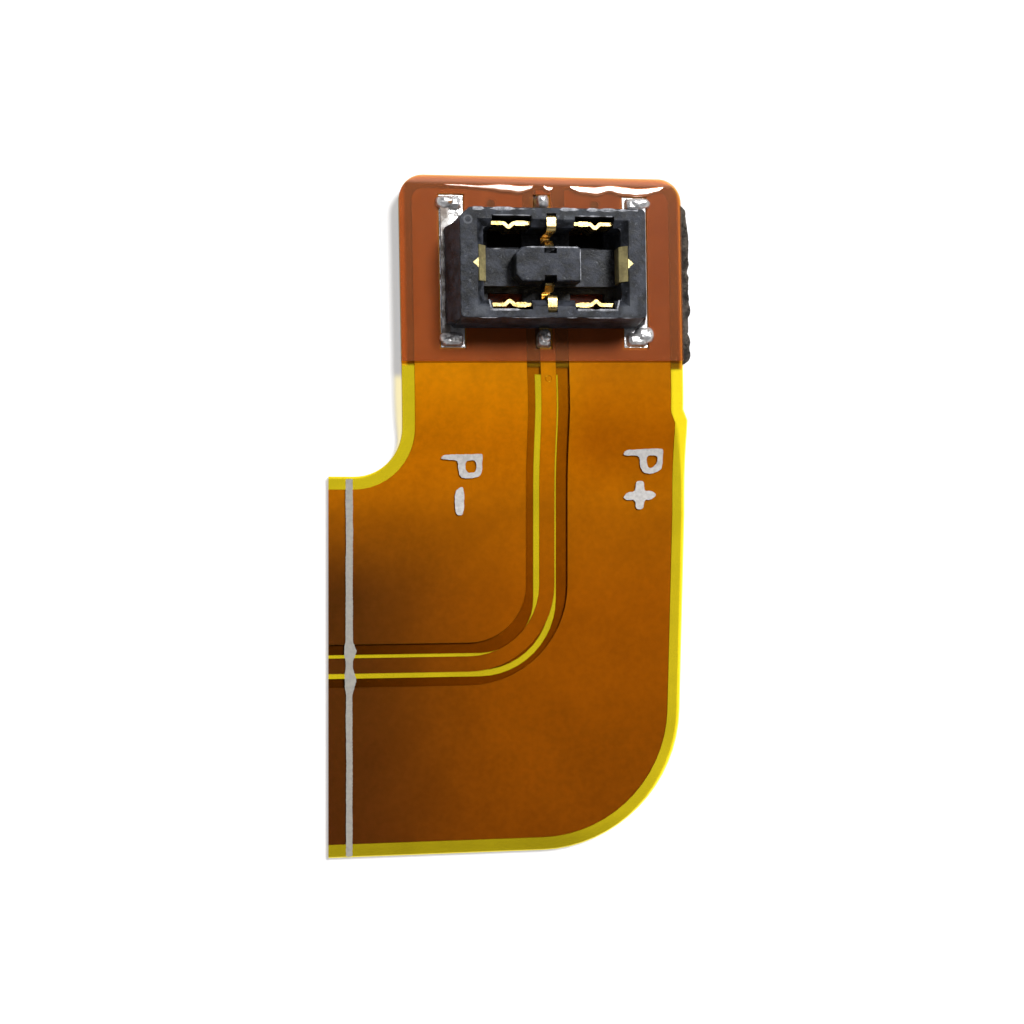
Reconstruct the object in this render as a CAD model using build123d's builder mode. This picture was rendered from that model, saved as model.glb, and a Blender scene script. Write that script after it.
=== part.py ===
"""Flexible lead of a mobile phone battery, with the socket that plugs it into the phone's board.

The lead is a laminate of two copper layers between polyimide films. It lies flat, socket up: the tail
lies on the surface, and a gentle step lifts the head on to its stiffener and foam pad. Millimetres.
X runs across the head, Y from the tail's wide corner to the head, and Z up. The origin lies on the
surface, under the middle of the lead's box.
"""

from build123d import *
import os
from math import atan, cos, degrees, radians, sin

# Plan of the lead
lead_length = 18.64
leg_width = 10.34
neck_reach = 1.91
head_left = 3.96
head_right = 3.89
head_above = 2.60
head_lean = 1.0
head_corner_radius = 0.65
neck_radius = 1.30
outer_radius = 3.90
edge_step_below = 3.723
edge_step_run = 0.30
edge_straight_below = 2.63
tail_taper = 0.24

# Socket's place on the head
socket_inset = 4.09

# Films and copper, through the thickness
coverlay_film = 0.04
copper_foil = 0.035
core_film = 0.03
cover_film = 0.04
bond_line = 0.003
stiffener_thickness = 0.10
foam_thickness = 0.30

# Step from the tail up to the head
step_run = 3.00
step_clear = 0.60

# Copper pattern
copper_margin = 0.35
track_half = 0.21
gap_half = 0.59
track_inset = 3.94
track_above = 5.19
track_bend = 2.17
back_track_half = 0.145
back_gap_half = 0.325
back_head_gap_half = 0.06
back_shift_x = -0.05
back_shift_y = -0.03
back_bend = 1.80
back_track_end_below = 2.803
adhesive_clearance = 0.01
overrun = 3.0

# Plated holes
via_radius = 0.16
via_wall = 0.04
sense_via_radius = 0.08
sense_via_inset = 0.12
via_reach = 1.45
via_above = 1.86

# Cover film, stiffener and foam on the head
film_below = 2.44
foam_proud = 0.12
foam_left = 3.50
foam_above = 2.00
foam_below = 2.52
foam_corner_radius = 0.35

# Socket housing
socket_length = 5.20
socket_width = 3.10
socket_height = 1.40
socket_draft = 4.0
socket_corner_radius = 0.12
key_chamfer = 0.32
rim_round = 0.03
end_wall = 0.74
side_wall = 0.58
cavity_corner_radius = 0.10
lead_in = 0.18
socket_floor = 0.20
ridge_side_gap = 0.47
ridge_height = 0.62
island_half_length = 0.88
island_half_width = 0.46
island_shift = -0.12
island_height = 1.20
island_chamfer = 0.18
island_round = 0.05
slot_start = 0.58
slot_end = 1.65
slot_depth = 0.27
floor_window_start = 0.66
floor_window_end = 1.62
floor_window_width = 0.54
floor_window_under = 0.19
fit_gap = 0.01

# Contacts
metal = 0.09
signal_width = 0.24
signal_u = -0.05
signal_tail_out = 0.47
signal_riser_depth = 0.29
signal_leaf = 0.88
signal_hook = 0.60
signal_hook_low = 0.36
signal_tip_height = 1.02
signal_bend = 0.10
signal_notch = 0.17
power_low = 0.30
power_high = 1.18
power_depth = 0.11
power_swing = 0.12
power_bulge_u = 1.17
power_grip = 0.06
power_bend = 0.05
power_tab_half = 0.065
power_foot_width = 0.26
power_foot_length = 0.34

# Hold-down fittings
strip_width = 0.22
strip_length = 3.92
strip_gap = 0.03
strip_metal = 0.12
stem_width = 0.24
stem_depth = 0.44
stem_top = 1.02
bar_width = 0.94
bar_metal = 0.06
bar_low = 0.72
nib_length = 0.15
nib_width = 0.26

# Pads and solder
pad_window_under = 0.40
pad_window_over = 0.06
pad_window_beyond = 0.14
centre_window_half = 0.24
centre_window_under = 0.37
centre_window_over = 0.10
power_window_start = 0.68
power_window_end = 1.08
power_window_width = 0.44
power_window_over = 0.04
solder_margin = 0.03
solder_film = 0.03
solder_height = 0.22
solder_taper = 22.0
corner_solder_length = 0.62
corner_solder_width = 0.42
centre_solder_size = 0.42
solder_bevel = 0.06

# Heights of the flat tail's layers above the surface
back_film_top = coverlay_film
back_copper_low = back_film_top + bond_line
back_copper_high = back_copper_low + copper_foil
core_low = back_copper_high + bond_line
core_high = core_low + core_film
top_copper_low = core_high + bond_line
top_copper_high = top_copper_low + copper_foil
top_film_low = top_copper_high + bond_line
stack_height = top_film_low + coverlay_film

# The head stands higher by its stiffener and foam
rise = stiffener_thickness + foam_thickness
seat_z = rise + stack_height + bond_line + cover_film
pad_w = rise + top_copper_high - seat_z
metal_low = pad_w + bond_line + solder_film
cut_depth = seat_z + overrun

# Places in plan
leg_reach = socket_inset + head_left + neck_reach
cut_x = -(leg_reach + foam_proud) / 2
right_x = cut_x + leg_reach
low_y = -lead_length / 2
leg_top_y = low_y + leg_width
lean = radians(head_lean)
socket_x = right_x - socket_inset
socket_y = lead_length / 2 - head_above * cos(lean) - head_right * sin(lean)
edge_step_y = socket_y - edge_step_below
edge_straight_end_y = edge_step_y - edge_step_run - edge_straight_below
step_low_y = socket_y - film_below - step_clear - step_run
track_x = right_x - track_inset
track_y = low_y + track_above
back_track_end_y = socket_y - back_track_end_below
foam_right = (right_x + foam_proud - socket_x - foam_below * sin(lean)) / cos(lean)

# Places on the head, across and along it from the socket's middle
cavity_half_length = socket_length / 2 - end_wall
cavity_half_width = socket_width / 2 - side_wall
ridge_half_width = cavity_half_width - ridge_side_gap
slot_half_width = cavity_half_width + slot_depth
floor_window_far = cavity_half_width + floor_window_under
floor_window_near = floor_window_far - floor_window_width
signal_riser = cavity_half_width + signal_riser_depth
signal_tail = socket_width / 2 + signal_tail_out
power_line = cavity_half_width + power_depth
power_bulge = power_line - power_swing
power_foot_far = power_line + power_foot_length
stem_u = socket_length / 2 - stem_depth
strip_u = socket_length / 2 + strip_gap + strip_width / 2
pad_window_inner = socket_length / 2 - pad_window_under
pad_window_outer = strip_u + strip_width / 2 + pad_window_over
pad_window_half = strip_length / 2 + pad_window_beyond
centre_window_near = socket_width / 2 - centre_window_under
centre_window_far = signal_tail + centre_window_over
power_window_far = power_foot_far + power_window_over
power_window_near = power_window_far - power_window_width

# The head leans a little to the left, and all that is on it is drawn in its own planes
head = Plane(origin=(socket_x, socket_y, 0), x_dir=(cos(lean), sin(lean), 0), z_dir=(0, 0, 1))
seat = head.offset(seat_z)

# The step is two arcs that meet half way, the first curving up and the second back to level
step_angle = 2 * atan(rise / step_run)
step_radius = step_run / (2 * sin(step_angle))
sense_via_place = (track_x + back_shift_x / 2, back_track_end_y - sense_via_inset)


def head_point(u, v):
    """Place in plan of a point given across and along the head, from the socket's middle."""
    return (socket_x + u * cos(lean) - v * sin(lean), socket_y + u * sin(lean) + v * cos(lean))


def head_edge(u, y):
    """Where a straight edge of the head, u from its middle, comes down to y."""
    return head_point(u, (y - socket_y - u * sin(lean)) / cos(lean))


def block(u_low, u_high, v_low, v_high, mode=Mode.ADD):
    """Adds to the open sketch a rectangle given by its sides."""
    with Locations(((u_low + u_high) / 2, (v_low + v_high) / 2)):
        Rectangle(abs(u_high - u_low), abs(v_high - v_low), mode=mode)


def lead_plan(extra=0.0):
    """Outline of the lead, with its cut end moved out by extra."""
    corners = [
        (head_point(-head_left, head_above), head_corner_radius),
        (head_point(head_right, head_above), head_corner_radius),
        (head_edge(head_right, edge_step_y), 0),
        ((right_x, edge_step_y - edge_step_run), 0),
        ((right_x, edge_straight_end_y), 0),
        ((right_x - tail_taper, low_y), outer_radius),
        ((cut_x - extra, low_y), 0),
        ((cut_x - extra, leg_top_y), 0),
        (head_edge(-head_left, leg_top_y), neck_radius),
    ]
    with BuildSketch() as plan:
        with BuildLine():
            FilletPolyline(*[p for p, r in corners], radius=[r for p, r in corners], close=True)
        make_face()
    return plan.sketch


def head_plan(below):
    """The part of the outline that lies on the head, down to a line across it."""
    with BuildSketch() as plan:
        add(lead_plan())
        with BuildSketch(head, mode=Mode.PRIVATE) as upper:
            block(-lead_length, lead_length, -below, lead_length)
        add(upper.sketch, mode=Mode.INTERSECT)
    return plan.sketch


def track_plan(half, x, y, bend):
    """A band of a given half width that runs up the leg, round the bend and up the neck and head."""
    with BuildSketch() as band:
        with BuildLine():
            FilletPolyline(
                (cut_x - overrun, y),
                (x, y),
                (x, edge_step_y),
                head_point(x - track_x, overrun),
                radius=(bend, neck_radius),
            )
        trace(line_width=2 * half)
    return band.sketch


def copper_field(grow):
    """All the ground that copper may cover: the outline drawn in by the margin, and flush at the cut end."""
    with BuildSketch() as field:
        add(lead_plan(overrun))
        offset(amount=grow - copper_margin)
        add(lead_plan(), mode=Mode.INTERSECT)
    return field.sketch


def top_copper_plans(grow=0.0):
    """Negative plane, positive plane and middle track of the top layer, each grown by a clearance."""
    with BuildSketch() as planes:
        add(copper_field(grow))
        add(track_plan(gap_half - grow, track_x, track_y, track_bend), mode=Mode.SUBTRACT)
    with BuildSketch() as track:
        add(copper_field(grow))
        add(track_plan(track_half + grow, track_x, track_y, track_bend), mode=Mode.INTERSECT)
    halves = planes.faces().sort_by(Axis.X)
    return halves[0], halves[-1], track.sketch


def back_copper_plans(grow=0.0):
    """The same for the back layer, whose track ends below the head, where the planes draw together."""
    x = track_x + back_shift_x
    y = track_y + back_shift_y
    with BuildSketch() as planes:
        add(copper_field(grow))
        with BuildSketch(mode=Mode.PRIVATE) as wide_gap:
            add(track_plan(back_gap_half - grow, x, y, back_bend))
            block(-lead_length, lead_length, back_track_end_y - grow, lead_length, mode=Mode.SUBTRACT)
        add(wide_gap.sketch, mode=Mode.SUBTRACT)
        add(track_plan(back_head_gap_half - grow, x, y, back_bend), mode=Mode.SUBTRACT)
    with BuildSketch() as track:
        add(copper_field(grow))
        add(track_plan(back_track_half + grow, x, y, back_bend), mode=Mode.INTERSECT)
        track_end = sense_via_place[1] + back_track_half + grow
        block(-lead_length, lead_length, track_end, lead_length, mode=Mode.SUBTRACT)
    halves = planes.faces().sort_by(Axis.X)
    return halves[0], halves[-1], track.sketch


def adhesive_plan(copper_plans):
    """The ground between the copper, which the coverlay's adhesive fills."""
    with BuildSketch() as plan:
        add(lead_plan())
        for copper in copper_plans(adhesive_clearance):
            add(copper, mode=Mode.SUBTRACT)
    return plan.sketch


def surface_line(level):
    """Side view of one surface of the laminate: flat tail, step and flat head. Gives its two ends."""
    tail = Line((-lead_length, level), (step_low_y, level))
    rising = JernArc(tail @ 1, (1, 0), step_radius - level, degrees(step_angle))
    falling = JernArc(rising @ 1, rising % 1, step_radius + level, -degrees(step_angle))
    top = Line(falling @ 1, (lead_length, rise + level))
    return tail @ 0, top @ 1


def sheet(plan, low, high):
    """A layer of the laminate between two levels of the tail, cut to its plan."""
    with BuildPart() as layer:
        with BuildSketch(Plane.YZ):
            with BuildLine():
                low_start, low_end = surface_line(low)
                high_start, high_end = surface_line(high)
                Line(low_start, high_start)
                Line(low_end, high_end)
            make_face()
        extrude(amount=lead_length, both=True)
        with BuildSketch(Plane.XY.offset(-cut_depth)):
            add(plan)
        extrude(amount=2 * cut_depth, mode=Mode.INTERSECT)
    return layer.part


def cut_power_holes():
    """Drills the open part for the two power vias."""
    with BuildSketch(head) as holes:
        with Locations((-via_reach, via_above), (via_reach, via_above)):
            Circle(via_radius + fit_gap)
    extrude(holes.sketch, amount=cut_depth, mode=Mode.SUBTRACT)


def cut_sense_hole():
    """Drills the open part for the track's via."""
    with BuildSketch() as hole:
        with Locations(sense_via_place):
            Circle(sense_via_radius + fit_gap)
    extrude(hole.sketch, amount=cut_depth, mode=Mode.SUBTRACT)


def cut_pad_windows():
    """Opens the film that is being built over every pad of the socket."""
    with BuildSketch(head) as windows:
        for side in (-1, 1):
            block(side * pad_window_inner, side * pad_window_outer, -pad_window_half, pad_window_half)
            block(
                signal_u - centre_window_half,
                signal_u + centre_window_half,
                side * centre_window_near,
                side * centre_window_far,
            )
            for end in (-1, 1):
                block(
                    end * power_window_start,
                    end * power_window_end,
                    side * power_window_near,
                    side * power_window_far,
                )
    extrude(windows.sketch, amount=cut_depth, mode=Mode.SUBTRACT)


def signal_shape(side, grow=0.0):
    """A signal contact, or with grow the channel it is pressed into: tail, riser, bridge and hooked leaf."""
    across = Plane(
        origin=seat.from_local_coords((signal_u, 0, 0)),
        x_dir=seat.y_dir * side,
        z_dir=seat.x_dir * side,
    )
    tail_w = metal_low + metal / 2
    bridge_w = socket_height - 0.75 * metal
    with BuildPart() as shape:
        with BuildSketch(across):
            with BuildLine():
                FilletPolyline(
                    (signal_tail, tail_w),
                    (signal_riser, tail_w),
                    (signal_riser, bridge_w),
                    (signal_leaf, bridge_w),
                    (signal_leaf, signal_hook_low),
                    (signal_hook, signal_hook_low),
                    (signal_hook + metal / 2, signal_tip_height - 2 * metal),
                    (signal_hook - metal, signal_tip_height),
                    radius=signal_bend,
                )
            trace(line_width=metal + 2 * grow)
        extrude(amount=signal_width / 2 + grow, both=True)
    return shape.part


def power_shape(end, side, grow=0.0):
    """A power contact, or with grow its slot: a wavy strip on edge, with a folded tab and a soldered foot."""
    grip_far = end * (slot_end + power_grip)
    grip_near = end * (slot_start - power_grip)
    with BuildPart() as shape:
        with BuildSketch(seat.offset(power_low - grow)):
            with BuildLine():
                FilletPolyline(
                    (grip_far, side * power_line),
                    (end * (power_bulge_u + 2 * power_tab_half), side * power_line),
                    (end * power_bulge_u, side * power_bulge),
                    (end * (power_bulge_u - 2 * power_tab_half), side * power_line),
                    (grip_near, side * power_line),
                    radius=power_bend,
                )
            trace(line_width=metal + 2 * grow)
        extrude(amount=power_high - power_low + 2 * grow)
        tab_u = end * (power_window_start + power_foot_width / 2 + 0.5 * metal)
        with BuildSketch(seat.offset(power_high - metal)):
            with Locations((tab_u, side * power_line)):
                Rectangle(power_foot_width, 2 * (power_tab_half + grow))
        extrude(amount=metal + grow)
        with BuildSketch(seat.offset(metal_low - solder_film)):
            with Locations((tab_u, side * power_line)):
                Rectangle(power_foot_width + 2 * grow, metal + 2 * grow)
        extrude(amount=power_low - metal_low + solder_film)
        with BuildSketch(seat.offset(metal_low - solder_film)):
            with Locations((tab_u, side * (power_line + power_foot_far) / 2)):
                Rectangle(power_foot_width + 2 * grow, power_foot_far - power_line + 2 * grow)
        extrude(amount=metal)
    return shape.part


def hold_down_shape(side, grow=0.0):
    """A hold-down fitting: strip beside the socket, stem up inside the wall, and a T that lines its lead-in."""
    lengthwise = Plane(origin=seat.origin, x_dir=seat.x_dir * side, z_dir=seat.y_dir * -side)
    strip_w = metal_low + strip_metal / 2
    rim_w = socket_height - bar_metal / 2 - grow
    bar_u = cavity_half_length - bar_metal / 2
    bar_top_u = cavity_half_length + lead_in - bar_metal / 2
    with BuildPart() as shape:
        with BuildSketch(seat.offset(metal_low)):
            with Locations((side * strip_u, 0)):
                Rectangle(strip_width, strip_length)
        extrude(amount=strip_metal)
        with BuildSketch(lengthwise):
            with BuildLine():
                Polyline((strip_u, strip_w), (stem_u, strip_w), (stem_u, stem_top), (bar_u, stem_top))
            trace(line_width=metal + 2 * grow)
        extrude(amount=stem_width / 2 + grow, both=True)
        with BuildSketch(lengthwise):
            with BuildLine():
                Polyline((bar_top_u, rim_w), (bar_u, rim_w - lead_in), (bar_u, bar_low))
            trace(line_width=bar_metal + 2 * grow)
        extrude(amount=bar_width / 2 + grow, both=True)
        with BuildSketch(seat.offset(rim_w - bar_metal / 2 - grow)):
            with BuildLine():
                Polyline(
                    (side * bar_top_u, -nib_width / 2 - grow),
                    (side * bar_top_u, nib_width / 2 + grow),
                    (side * (bar_top_u + nib_length + 2 * grow), 0),
                    close=True,
                )
            make_face()
        extrude(amount=bar_metal + 2 * grow)
    return shape.part


def solder_mound(place, length, width):
    """Solder that has flowed up round a soldered end, at a place on the head."""
    with BuildPart() as mound:
        with BuildSketch(seat.offset(pad_w + bond_line)):
            with Locations(place):
                Rectangle(length, width)
        extrude(amount=solder_height, taper=solder_taper)
        foot = mound.faces().sort_by(Axis.Z)[0]
        chamfer(mound.edges() - foot.edges(), solder_bevel)
    return mound.part


# Laminate, from the back up
top_plans = top_copper_plans()
back_plans = back_copper_plans()

with BuildPart() as bottom_coverlay:
    add(sheet(lead_plan(), 0, back_film_top))
    add(sheet(adhesive_plan(back_copper_plans), back_film_top, core_low - bond_line))
bottom_coverlay.part.label = "bottom_coverlay"

with BuildPart() as bottom_copper_negative:
    add(sheet(back_plans[0], back_copper_low, back_copper_high))
    cut_power_holes()
bottom_copper_negative.part.label = "bottom_copper_negative"

with BuildPart() as bottom_copper_positive:
    add(sheet(back_plans[1], back_copper_low, back_copper_high))
    cut_power_holes()
bottom_copper_positive.part.label = "bottom_copper_positive"

with BuildPart() as bottom_copper_sense:
    add(sheet(back_plans[2], back_copper_low, back_copper_high))
    cut_sense_hole()
bottom_copper_sense.part.label = "bottom_copper_sense"

with BuildPart() as base_film:
    add(sheet(lead_plan(), core_low, core_high))
    cut_power_holes()
    cut_sense_hole()
base_film.part.label = "base_film"

with BuildPart() as top_copper_negative:
    add(sheet(top_plans[0], top_copper_low, top_copper_high))
    cut_power_holes()
top_copper_negative.part.label = "top_copper_negative"

with BuildPart() as top_copper_positive:
    add(sheet(top_plans[1], top_copper_low, top_copper_high))
    cut_power_holes()
top_copper_positive.part.label = "top_copper_positive"

with BuildPart() as top_copper_sense:
    add(sheet(top_plans[2], top_copper_low, top_copper_high))
    cut_sense_hole()
top_copper_sense.part.label = "top_copper_sense"

with BuildPart() as top_coverlay:
    add(sheet(lead_plan(), top_film_low, stack_height))
    add(sheet(adhesive_plan(top_copper_plans), core_high + bond_line, top_film_low))
    cut_pad_windows()
top_coverlay.part.label = "top_coverlay"

laminate = [
    bottom_coverlay,
    bottom_copper_negative,
    bottom_copper_positive,
    bottom_copper_sense,
    base_film,
    top_copper_negative,
    top_copper_positive,
    top_copper_sense,
    top_coverlay,
]

# Plated holes
with BuildPart() as negative_via:
    with BuildSketch(head.offset(rise + back_copper_low)):
        with Locations((-via_reach, via_above)):
            Circle(via_radius)
            Circle(via_radius - via_wall, mode=Mode.SUBTRACT)
    extrude(amount=top_copper_high - back_copper_low)
negative_via.part.label = "negative_via"

with BuildPart() as positive_via:
    with BuildSketch(head.offset(rise + back_copper_low)):
        with Locations((via_reach, via_above)):
            Circle(via_radius)
            Circle(via_radius - via_wall, mode=Mode.SUBTRACT)
    extrude(amount=top_copper_high - back_copper_low)
positive_via.part.label = "positive_via"

with BuildPart() as sense_via:
    with BuildSketch(Plane.XY.offset(rise + back_copper_low)):
        with Locations(sense_via_place):
            Circle(sense_via_radius)
    extrude(amount=top_copper_high - back_copper_low)
sense_via.part.label = "sense_via"

# What is bonded to the head
with BuildPart() as head_cover_film:
    with BuildSketch(Plane.XY.offset(seat_z - cover_film)):
        add(head_plan(film_below))
    extrude(amount=cover_film)
    cut_pad_windows()
head_cover_film.part.label = "head_cover_film"

with BuildPart() as stiffener:
    with BuildSketch(Plane.XY.offset(foam_thickness + bond_line)):
        add(head_plan(film_below))
    extrude(amount=stiffener_thickness - 2 * bond_line)
stiffener.part.label = "stiffener"

with BuildPart() as foam_pad:
    with BuildSketch(head) as pad:
        block(-foam_left, foam_right, -foam_below, foam_above)
        fillet(pad.vertices(), foam_corner_radius)
    extrude(amount=foam_thickness)
foam_pad.part.label = "foam_pad"

# Socket
with BuildPart() as socket_housing:
    with BuildSketch(seat) as foot:
        Rectangle(socket_length, socket_width)
        chamfer(foot.vertices().sort_by(lambda corner: corner.X - corner.Y)[0], key_chamfer)
    extrude(amount=socket_height, taper=socket_draft)
    upright = socket_housing.edges().filter_by(lambda edge: edge.bounding_box().size.Z > socket_height / 2)
    fillet(upright, socket_corner_radius)
    fillet(socket_housing.faces().sort_by(Axis.Z)[-1].edges(), rim_round)
    with BuildSketch(seat.offset(socket_floor)):
        RectangleRounded(2 * cavity_half_length, 2 * cavity_half_width, cavity_corner_radius)
    extrude(amount=socket_height, mode=Mode.SUBTRACT)
    with BuildSketch(seat.offset(socket_height - lead_in)):
        Rectangle(2 * cavity_half_length, 2 * cavity_half_width)
    extrude(amount=lead_in + rim_round, taper=-45, mode=Mode.SUBTRACT)
    with BuildSketch(seat.offset(socket_floor)):
        Rectangle(2 * cavity_half_length, 2 * ridge_half_width)
    extrude(amount=ridge_height - socket_floor)
    with BuildSketch(seat.offset(ridge_height)) as island:
        with Locations((island_shift, 0)):
            Rectangle(2 * island_half_length, 2 * island_half_width)
        chamfer(island.vertices().sort_by(Axis.X)[:2], island_chamfer)
    extrude(amount=island_height - ridge_height)
    island_top = socket_housing.faces().filter_by_position(
        Axis.Z, seat_z + island_height - fit_gap, seat_z + island_height + fit_gap
    )
    fillet(island_top.edges(), island_round)
    with BuildSketch(seat.offset(socket_floor)):
        for side in (-1, 1):
            for end in (-1, 1):
                block(end * slot_start, end * slot_end, 0.9 * side * cavity_half_width, side * slot_half_width)
            block(
                signal_u - signal_width / 2 - signal_bend / 2,
                signal_u + signal_width / 2 + signal_bend / 2,
                side * (island_half_width - signal_notch),
                side * cavity_half_width,
            )
    extrude(amount=socket_height, mode=Mode.SUBTRACT)
    with BuildSketch(seat.offset(socket_height - metal - 2 * fit_gap)):
        for side in (-1, 1):
            block(
                signal_u - signal_width / 2 - fit_gap,
                signal_u + signal_width / 2 + fit_gap,
                side * 0.9 * cavity_half_width,
                side * (signal_riser + metal / 2 + fit_gap),
            )
    extrude(amount=socket_height, mode=Mode.SUBTRACT)
    with BuildSketch(seat):
        for side in (-1, 1):
            for end in (-1, 1):
                block(
                    end * floor_window_start,
                    end * floor_window_end,
                    side * floor_window_near,
                    side * floor_window_far,
                )
    extrude(amount=socket_floor, mode=Mode.SUBTRACT)
    for side in (-1, 1):
        add(signal_shape(side, fit_gap), mode=Mode.SUBTRACT)
        add(hold_down_shape(side, fit_gap), mode=Mode.SUBTRACT)
        for end in (-1, 1):
            add(power_shape(end, side, fit_gap), mode=Mode.SUBTRACT)
socket_housing.part.label = "socket_housing"

sides = {"left": -1, "right": 1}
levels = {"lower": -1, "upper": 1}
fittings = []

for name, side in sides.items():
    with BuildPart() as hold_down:
        add(hold_down_shape(side))
    hold_down.part.label = "hold_down_" + name
    fittings.append(hold_down)
    with BuildPart() as solder:
        with BuildSketch(seat.offset(pad_w + bond_line)):
            block(
                side * (pad_window_inner + solder_margin),
                side * (pad_window_outer - solder_margin),
                -pad_window_half + solder_margin,
                pad_window_half - solder_margin,
            )
        extrude(amount=solder_film)
        corner_u = side * (pad_window_outer - solder_margin - corner_solder_length / 2)
        corner_v = pad_window_half - solder_margin - corner_solder_width / 2
        for end in (-1, 1):
            add(solder_mound((corner_u, end * corner_v), corner_solder_length, corner_solder_width))
        add(hold_down_shape(side), mode=Mode.SUBTRACT)
    solder.part.label = "solder_" + name
    fittings.append(solder)

for level, side in levels.items():
    with BuildPart() as signal_contact:
        add(signal_shape(side))
    signal_contact.part.label = "signal_contact_" + level
    fittings.append(signal_contact)
    with BuildPart() as solder:
        centre_v = side * (centre_window_far - solder_margin - centre_solder_size / 2)
        add(solder_mound((signal_u, centre_v), centre_solder_size, centre_solder_size))
        add(signal_shape(side), mode=Mode.SUBTRACT)
    solder.part.label = "solder_" + level
    fittings.append(solder)
    for name, end in sides.items():
        with BuildPart() as power_contact:
            add(power_shape(end, side))
        power_contact.part.label = "power_contact_" + level + "_" + name
        fittings.append(power_contact)

pieces = laminate + [negative_via, positive_via, sense_via]
pieces += [head_cover_film, stiffener, foam_pad, socket_housing] + fittings

os.makedirs("parts", exist_ok=True)
for piece in pieces:
    export_step(piece.part, "parts/" + piece.part.label + ".step")
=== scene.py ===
"""Looks of a phone battery's flexible lead and its board socket, in metres, around the fixed model."""

import math
import random

import bmesh
import bpy
from mathutils import Matrix, Vector, noise


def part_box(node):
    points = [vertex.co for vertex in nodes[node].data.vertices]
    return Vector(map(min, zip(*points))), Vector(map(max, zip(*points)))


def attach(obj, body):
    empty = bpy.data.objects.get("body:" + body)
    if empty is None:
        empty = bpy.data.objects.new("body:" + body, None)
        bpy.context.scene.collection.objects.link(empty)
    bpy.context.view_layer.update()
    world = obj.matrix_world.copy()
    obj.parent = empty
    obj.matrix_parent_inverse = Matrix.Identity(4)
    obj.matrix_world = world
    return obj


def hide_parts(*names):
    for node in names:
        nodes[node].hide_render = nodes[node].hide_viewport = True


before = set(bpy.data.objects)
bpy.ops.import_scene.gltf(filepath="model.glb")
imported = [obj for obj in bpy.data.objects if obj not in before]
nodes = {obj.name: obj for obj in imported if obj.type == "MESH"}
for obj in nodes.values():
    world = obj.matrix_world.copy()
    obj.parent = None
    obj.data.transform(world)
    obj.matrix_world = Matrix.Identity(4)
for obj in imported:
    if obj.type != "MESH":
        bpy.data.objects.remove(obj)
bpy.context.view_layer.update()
chance = random.Random(7)

MM = 0.001

# Laminate: the flat tail's thickness, the lift of the head, the step between them, and where the head's
# colours begin, in millimetres
STACK = 0.192 * MM
LIFT = 0.400 * MM
STEP_START = 0.613 * MM
STEP_RUN = 3.000 * MM
HEAD_START = (4.0, 4.1)

# Head: its lean, the socket's middle on it and the top of its cover film
LEAN = math.radians(1.0)
SOCKET_MIDDLE = Vector((0.830, 6.6525, 0.0)) * MM
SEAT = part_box("head_cover_film")[1].z

# Camera: 9 degrees to the left of straight above, far enough to look flat
CAMERA_TILT = math.radians(9.0)
CAMERA_DISTANCE = 38.9 * MM
CAMERA_AIM = Vector((0.025, 0.06, 0.0)) * MM
CAMERA_LENS = 49.2


def shader_node(tree, kind, inputs=None, **settings):
    """Adds a node, sets its properties, and links or sets its inputs by name or number."""
    made = tree.nodes.new(kind)
    for key, value in settings.items():
        setattr(made, key, value)
    for key, value in (inputs or {}).items():
        if isinstance(value, bpy.types.NodeSocket):
            tree.links.new(value, made.inputs[key])
        else:
            made.inputs[key].default_value = value
    return made


def new_material(name):
    """An empty node material. Gives the material and its tree."""
    material = bpy.data.materials.new(name)
    material.use_nodes = True
    material.node_tree.nodes.clear()
    return material, material.node_tree


def finish_material(tree, surface):
    shader_node(tree, "ShaderNodeOutputMaterial", {"Surface": surface})


def math_node(tree, operation, first, second=0.0, third=0.0):
    values = {0: first, 1: second, 2: third}
    return shader_node(tree, "ShaderNodeMath", values, operation=operation).outputs[0]


def millimetres(tree):
    """Object coordinates in millimetres."""
    place = shader_node(tree, "ShaderNodeTexCoord")
    scaled = shader_node(
        tree, "ShaderNodeVectorMath", {0: place.outputs["Object"], "Scale": 1 / MM}, operation="SCALE"
    )
    return scaled.outputs[0]


def along(tree, place, axis):
    """One coordinate of a place, in millimetres."""
    return shader_node(tree, "ShaderNodeSeparateXYZ", {0: place}).outputs[axis]


def speckle(tree, place, scale, detail=3.0, roughness=0.55):
    """Noise of a given number of cells to the millimetre."""
    settings = {"Vector": place, "Scale": scale, "Detail": detail, "Roughness": roughness}
    return shader_node(tree, "ShaderNodeTexNoise", settings).outputs["Fac"]


def remap(tree, value, low, high, new_low=0.0, new_high=1.0, smooth=True):
    """Runs a value's range low to high on to new_low to new_high, held at both ends."""
    made = shader_node(
        tree,
        "ShaderNodeMapRange",
        {"Value": value, "From Min": low, "From Max": high, "To Min": new_low, "To Max": new_high},
        interpolation_type="SMOOTHSTEP" if smooth else "LINEAR",
    )
    return made.outputs["Result"]


def ramp(tree, value, stops):
    """A colour from a value between 0 and 1, by (place, colour) stops."""
    made = shader_node(tree, "ShaderNodeValToRGB", {0: value})
    elements = made.color_ramp.elements
    while len(elements) < len(stops):
        elements.new(1.0)
    for element, (place, colour) in zip(elements, stops):
        element.position = place
    for element, (place, colour) in zip(elements, stops):
        element.color = (*colour, 1.0)
    return made.outputs["Color"]


def blend_colours(tree, share, first, second, how="MIX"):
    """Mixes two colours, each a socket or a triple."""
    made = shader_node(tree, "ShaderNodeMix", {0: share}, data_type="RGBA", blend_type=how)
    for index, colour in ((6, first), (7, second)):
        if isinstance(colour, bpy.types.NodeSocket):
            tree.links.new(colour, made.inputs[index])
        else:
            made.inputs[index].default_value = (*colour, 1.0)
    return made.outputs[2]


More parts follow.
